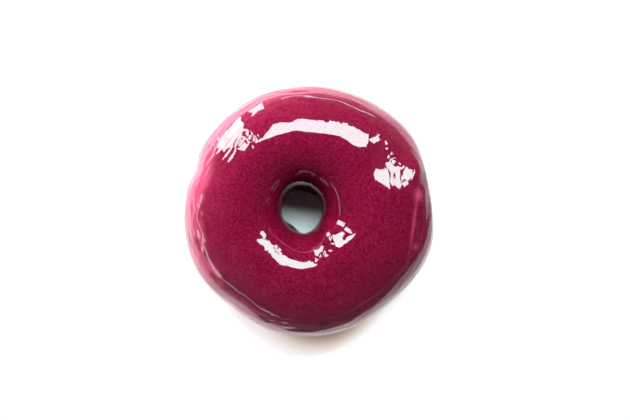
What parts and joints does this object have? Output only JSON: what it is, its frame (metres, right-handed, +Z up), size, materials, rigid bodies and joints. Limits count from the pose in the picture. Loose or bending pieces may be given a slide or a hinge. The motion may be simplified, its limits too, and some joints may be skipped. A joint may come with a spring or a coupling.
{
  "type": "glazed ring doughnut",
  "caption": "Raised ring doughnut coated in glossy berry glaze that ends in drips above a bare, flat fried base.",
  "frame": {"origin": "the middle of the doughnut's outline, level with its flat underside", "axes": "+Z up out of the underside, along the hole; +X and +Y are the right and the top of the picture"},
  "size_m": [0.0962, 0.097, 0.0372],
  "materials": {
    "fried_dough": "matte golden-brown fried crust",
    "berry_glaze": "wet, glossy deep crimson glaze"
  },
  "bodies": {
    "root": {"dough": "fried_dough", "glaze": "berry_glaze"}
  },
  "joints": []
}
